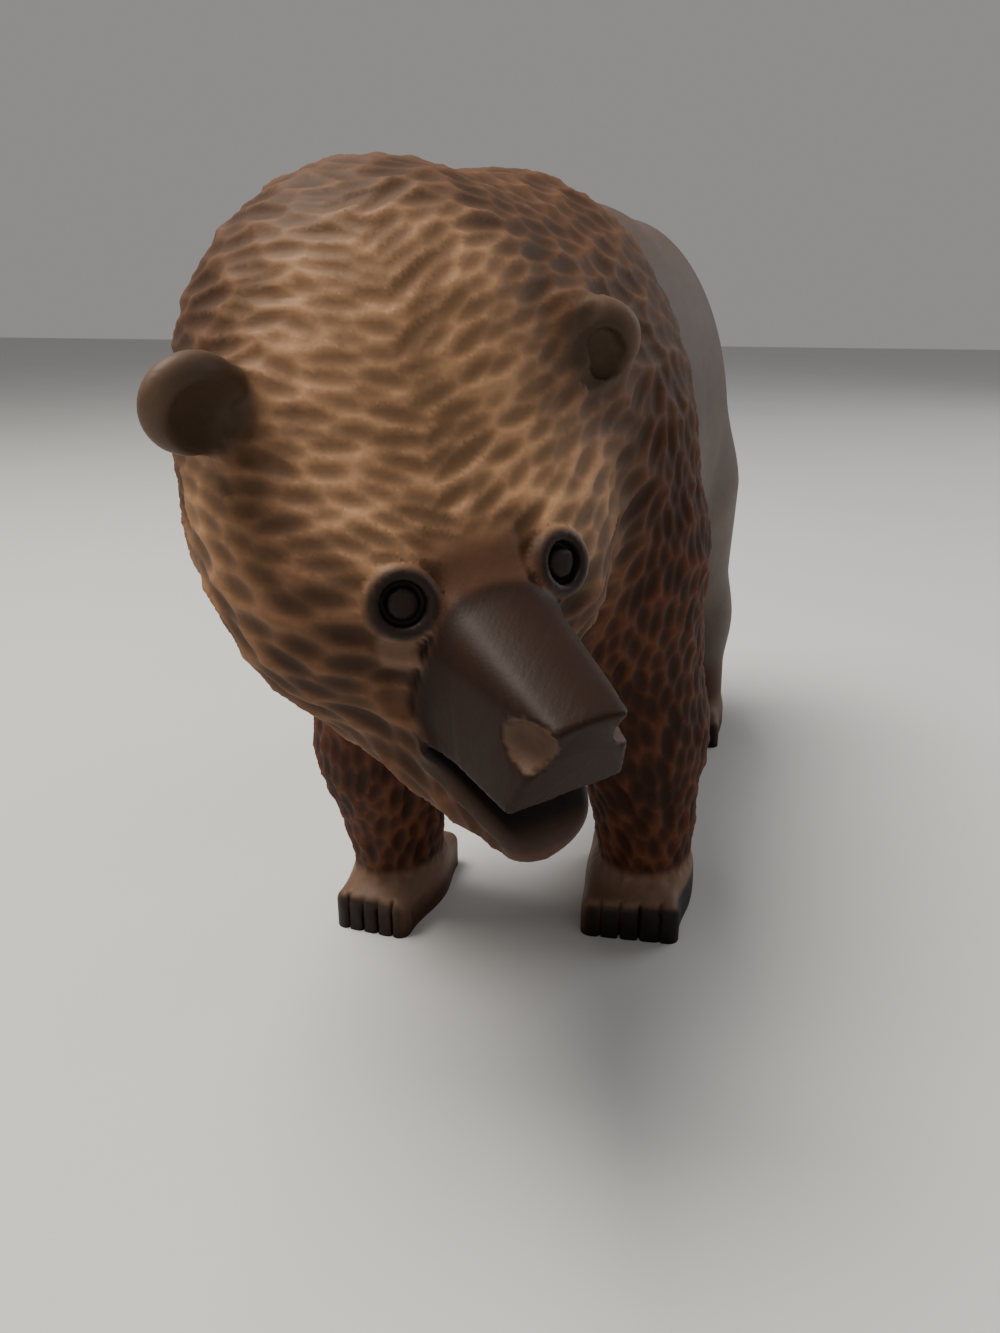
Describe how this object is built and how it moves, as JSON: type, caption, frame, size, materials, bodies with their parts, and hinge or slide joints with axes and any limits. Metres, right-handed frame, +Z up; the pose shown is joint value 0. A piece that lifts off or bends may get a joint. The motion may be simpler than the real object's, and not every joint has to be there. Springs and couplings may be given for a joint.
{
  "type": "carved wooden bear",
  "caption": "Carved wooden bear standing on four feet with its head turned to one side, humped shoulders, chiselled fur on head and neck, and a smooth rump.",
  "frame": {"origin": "middle of the bounding box at floor level, under the feet", "axes": "+Z up, -Y towards the bear's front, +Y towards its rump, +X towards its own left, the side its head turns to"},
  "size_m": [0.1068, 0.2956, 0.1931],
  "materials": {
    "stained_wood": "satin"
  },
  "bodies": {
    "root": {"bear": "stained_wood"}
  },
  "joints": []
}
